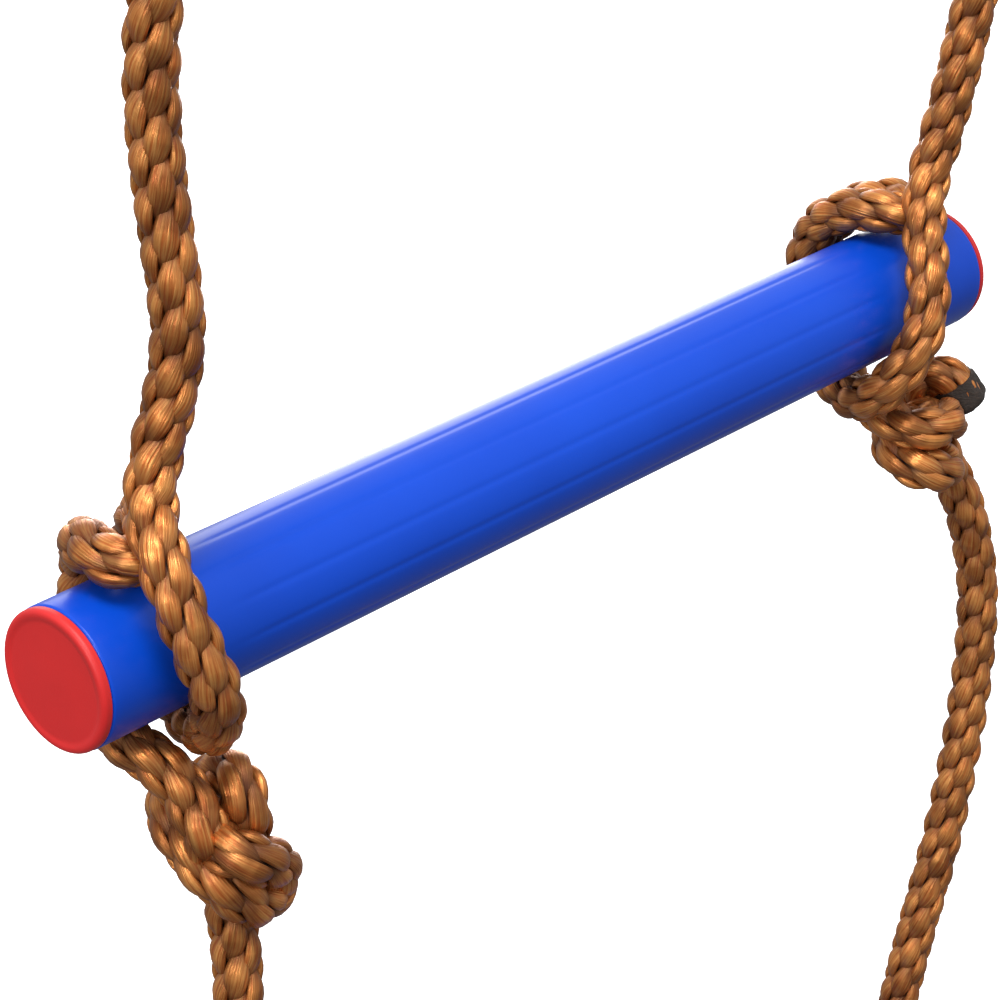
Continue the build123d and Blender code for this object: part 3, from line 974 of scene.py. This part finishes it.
@dataclass
class SideRope:
    """One rope of one bay: it leaves the knot above, goes round the rung, and ends in the knot under it."""

    side: Side
    bay: int
    braid: Braid
    filament: bpy.types.Material
    core: bpy.types.Material
    tip: bpy.types.Material

    @property
    def last(self) -> bool:
        """Return whether this is the lowest bay."""
        return self.bay == RUNG_COUNT

    def route(self) -> List[Point]:
        """Return the control points of the whole length, in metres."""
        left = self.side is Side.LEFT
        height = RUNG_HEIGHTS[self.bay - 1]
        if self.bay == 1:
            points = placed(Eye(self.side).route() + (LEFT_TOP if left else RIGHT_TOP), 0.0)
        else:
            points = placed(LEFT_SPAN if left else RIGHT_SPAN, height)
        points += placed(LEFT_HITCH if left else RIGHT_HITCH, height)
        points += placed(LEFT_KNOT if left else RIGHT_KNOT, height)
        if left and self.last:
            points += placed(LEFT_TAIL, height)
        return points

    def attach(self, made: bpy.types.Object, from_above: bool) -> None:
        """Let a length of rope ride on its bay; where it comes from the one above, only bake its place into
        its points.

        Args:
            made: the rope.
            from_above: it starts in the knot above.
        """
        body = f"bay_{self.bay}"
        if not from_above:
            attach(made, body)
            return
        f"bay_{self.bay - 1}"
        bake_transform(made)

    def lay(
        self, name: str, route: Sequence[Point], nodes: Sequence[str], tips: Sequence[str], loose: bool
    ) -> None:
        """Make one length of rope and its tips.

        Args:
            name: the piece's name.
            route: control points in metres.
            nodes: CAD nodes that it stands for.
            tips: "start" and "end", where a melted tip shows.
            loose: it is only a free end under the last knot.
        """
        centre = smooth_line(route, self.braid.step)
        made = self.braid.skin(name, centre).build([self.filament, self.core], sharp=70.0)
        self.attach(made, from_above=self.bay > 1 and not loose)
        for end in tips:
            piece = MeltedTip().build(f"{name}_{end}_tip", centre, end == "end", self.tip)
            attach(piece, f"bay_{self.bay}")
        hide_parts(*nodes)

    def build(self) -> None:
        """Make this bay's rope, and its free end under the last rung."""
        side = self.side.value
        nodes = [f"{side}_{part}_{self.bay}" for part in ("rope", "hitch", "knot")]
        tips: List[str] = []
        if self.bay == 1:
            nodes += [f"{side}_eye", f"{side}_eye_knot"]
            tips.append("start")
        if self.side is Side.RIGHT or self.last:
            tips.append("end")
        if self.side is Side.LEFT and self.last:
            nodes.append("left_tail")
        self.lay(f"{side}_braid_{self.bay}", self.route(), nodes, tips, loose=False)
        if self.side is Side.RIGHT and self.last:
            route = placed(RIGHT_TAIL, RUNG_HEIGHTS[-1])
            self.lay("right_braid_tail", route, ["right_tail"], ["end"], loose=True)


# ---------------------------------------------------------------- hook and ring
@dataclass
class HookAndRing:
    """The steel parts that carry over from the frame, with their finishes."""

    finishes: Dict[str, PlatedSteel] = field(
        default_factory=lambda: {
            "hook_body": PlatedSteel("zinc_plate_hook"),
            "hook_gate": PlatedSteel("zinc_plate_gate", (0.58, 0.58, 0.59), 0.24),
            "gate_pin": PlatedSteel("bright_pin", (0.62, 0.62, 0.62), 0.22),
            "gate_spring": PlatedSteel("spring_wire", (0.45, 0.45, 0.46), 0.3),
            "top_ring": PlatedSteel("zinc_plate_ring", (0.56, 0.57, 0.59), 0.25),
        }
    )

    def dress(self) -> None:
        """Give each steel node its material."""
        for node, finish in self.finishes.items():
            material = finish.material()
            carrier = frame["nodes"][node]
            for slot in carrier.material_slots:
                slot.material = material
            LOG.info("%s: %s", node, material.name)


# ---------------------------------------------------------------- studio
@dataclass(frozen=True)
class Panel:
    """A round soft light that faces the ladder."""

    name: str
    place: Point
    size: float
    power: float
    aim: Point = (0.0, 0.0, -0.6)

    def hang(self) -> None:
        """Make the light, turned from its place towards its aim."""
        lamp = bpy.data.lights.new(self.name, "AREA")
        lamp.shape = "DISK"
        lamp.size = self.size
        lamp.energy = self.power
        carrier = bpy.data.objects.new(self.name, lamp)
        carrier.location = self.place
        x, y, z = (to - start for to, start in zip(self.aim, self.place))
        carrier.rotation_euler = (math.atan2(math.hypot(x, y), -z), 0.0, math.atan2(-x, y))
        carrier.visible_camera = False
        bpy.context.scene.collection.objects.link(carrier)


@dataclass
class Studio:
    """Pale floor, soft light, and the camera."""

    panels: Tuple[Panel, ...] = (
        Panel("top_panel", (-0.5, -0.5, 1.0), 0.8, 26.0),
        Panel("front_panel", (-1.9, -0.5, 0.2), 0.7, 16.0),
        Panel("back_panel", (1.2, 1.6, -0.1), 1.2, 8.0),
        Panel("low_panel", (1.5, 1.3, -0.95), 0.9, 9.0, (0.0, 0.0, -0.64)),
    )
    sky_low: float = 0.24
    sky_high: float = 1.15
    floor_height: float = -1.10
    floor_radius: float = 7.0
    floor_thickness: float = 0.02
    camera_place: Point = (-0.5413, -0.4773, -0.2998)
    camera_turn: Point = (63.79, 0.0, -47.54)
    lens: float = 115.8

    def floor(self) -> None:
        """Make the floor, a wide flat disc with a small thickness."""
        angle = round_angles(96)
        radius = np.array([0.02, 1.0, 3.0, self.floor_radius, self.floor_radius, 0.02])[:, None]
        height = np.repeat([0.0, -self.floor_thickness], [4, 2])[:, None] + self.floor_height
        grid = np.stack([radius * np.cos(angle), radius * np.sin(angle), height + 0 * angle], axis=-1)
        graph = Graph("studio_floor")
        tone = graph.noise(graph.place(), 3.0)
        material = graph.close(
            Base_Color=graph.mix(tone, (0.90, 0.90, 0.90), (0.93, 0.93, 0.93)),
            Roughness=0.8,
            Emission_Color=(1.0, 1.0, 1.0, 1.0),
            Emission_Strength=0.55,
        )
        skin = Skin("studio_floor")
        skin.add(grid[:, ::-1], np.linspace(0.0, 1.0, len(grid)))
        floor = skin.build([material])
        floor.visible_diffuse = False
        floor.visible_glossy = False

    def light(self) -> None:
        """Make a world that is pale above and dimmer below, and hang the soft lights."""
        world = bpy.data.worlds.new("studio")
        world.use_nodes = True
        nodes, links = world.node_tree.nodes, world.node_tree.links
        background = nodes["Background"]
        place = nodes.new("ShaderNodeTexCoord")
        parts = nodes.new("ShaderNodeSeparateXYZ")
        ramp = nodes.new("ShaderNodeMapRange")
        limits = {"From Min": -0.5, "From Max": 0.9, "To Min": self.sky_low, "To Max": self.sky_high}
        for socket, value in limits.items():
            ramp.inputs[socket].default_value = value
        links.new(place.outputs["Generated"], parts.inputs["Vector"])
        links.new(parts.outputs["Z"], ramp.inputs["Value"])
        links.new(ramp.outputs["Result"], background.inputs["Strength"])
        background.inputs["Color"].default_value = (0.95, 0.97, 1.0, 1.0)
        bpy.context.scene.world = world
        for panel in self.panels:
            panel.hang()

    def camera(self) -> None:
        """Make the camera."""
        scene = bpy.context.scene
        lens = bpy.data.cameras.new("camera")
        lens.lens = self.lens
        lens.sensor_width = 36.0
        lens.clip_start = 0.01
        carrier = bpy.data.objects.new("camera", lens)
        carrier.location = self.camera_place
        carrier.rotation_euler = tuple(math.radians(part) for part in self.camera_turn)
        scene.collection.objects.link(carrier)
        scene.camera = carrier
        scene.view_settings.view_transform = "Standard"

    def build(self) -> None:
        """Make the whole studio."""
        self.floor()
        self.light()
        self.camera()


def main() -> None:
    """Build the ladder piece by piece."""
    logging.basicConfig(level=logging.INFO, format="%(name)s %(message)s")
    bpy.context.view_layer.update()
    tube = RungPlastic().material()
    cap = CapPlastic().material()
    for number in range(1, RUNG_COUNT + 1):
        Rung(number).build(tube, cap)
    braid = Braid()
    filament = Filament().material()
    core = RopeCore().material()
    tip = SealedTip().material()
    for bay in range(1, RUNG_COUNT + 1):
        for side in Side:
            SideRope(side, bay, braid, filament, core, tip).build()
    HookAndRing().dress()
    Studio().build()


if __name__ == "__main__":
    main()
